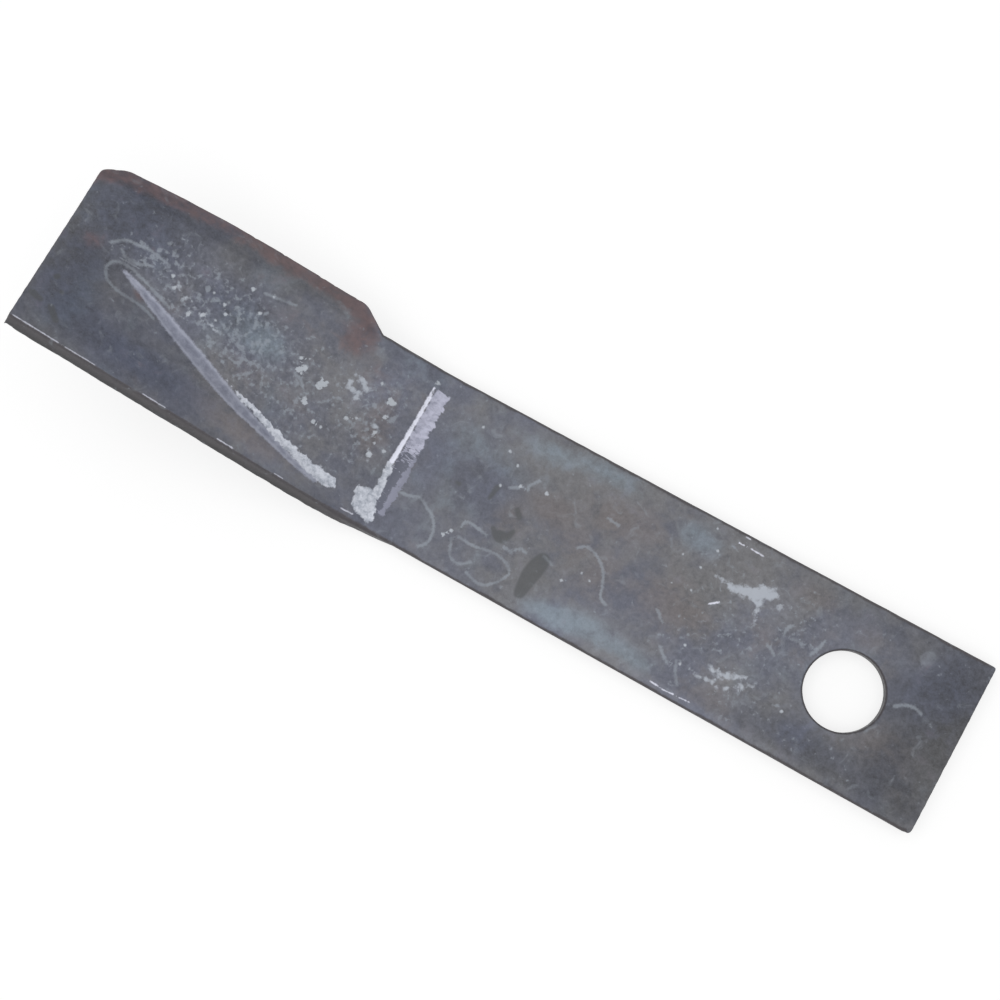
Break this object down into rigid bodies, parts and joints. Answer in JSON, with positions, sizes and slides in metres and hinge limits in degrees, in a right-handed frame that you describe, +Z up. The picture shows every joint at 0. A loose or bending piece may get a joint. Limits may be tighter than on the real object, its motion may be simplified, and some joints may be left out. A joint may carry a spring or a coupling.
{
  "type": "rotary cutter blade",
  "caption": "Heavy steel rotary cutter blade: flat bar with a pivot hole at one end and a raised, twisted tip with a drawn-out cutting edge.",
  "frame": {"origin": "centre of the pivot hole, on the underside of the flat bar", "axes": "+X from the pivot hole towards the cutting tip; -Y the leading (cutting) side; +Z up, the side the tip rises to and the cutting edge is bevelled from"},
  "size_m": [0.5549, 0.1169, 0.1226],
  "materials": {
    "scaled_steel": "hot-rolled steel with dark blue-grey mill scale, bare at the bends and rusty along the cutting edge"
  },
  "bodies": {
    "root": {"blade": "scaled_steel"}
  },
  "joints": []
}
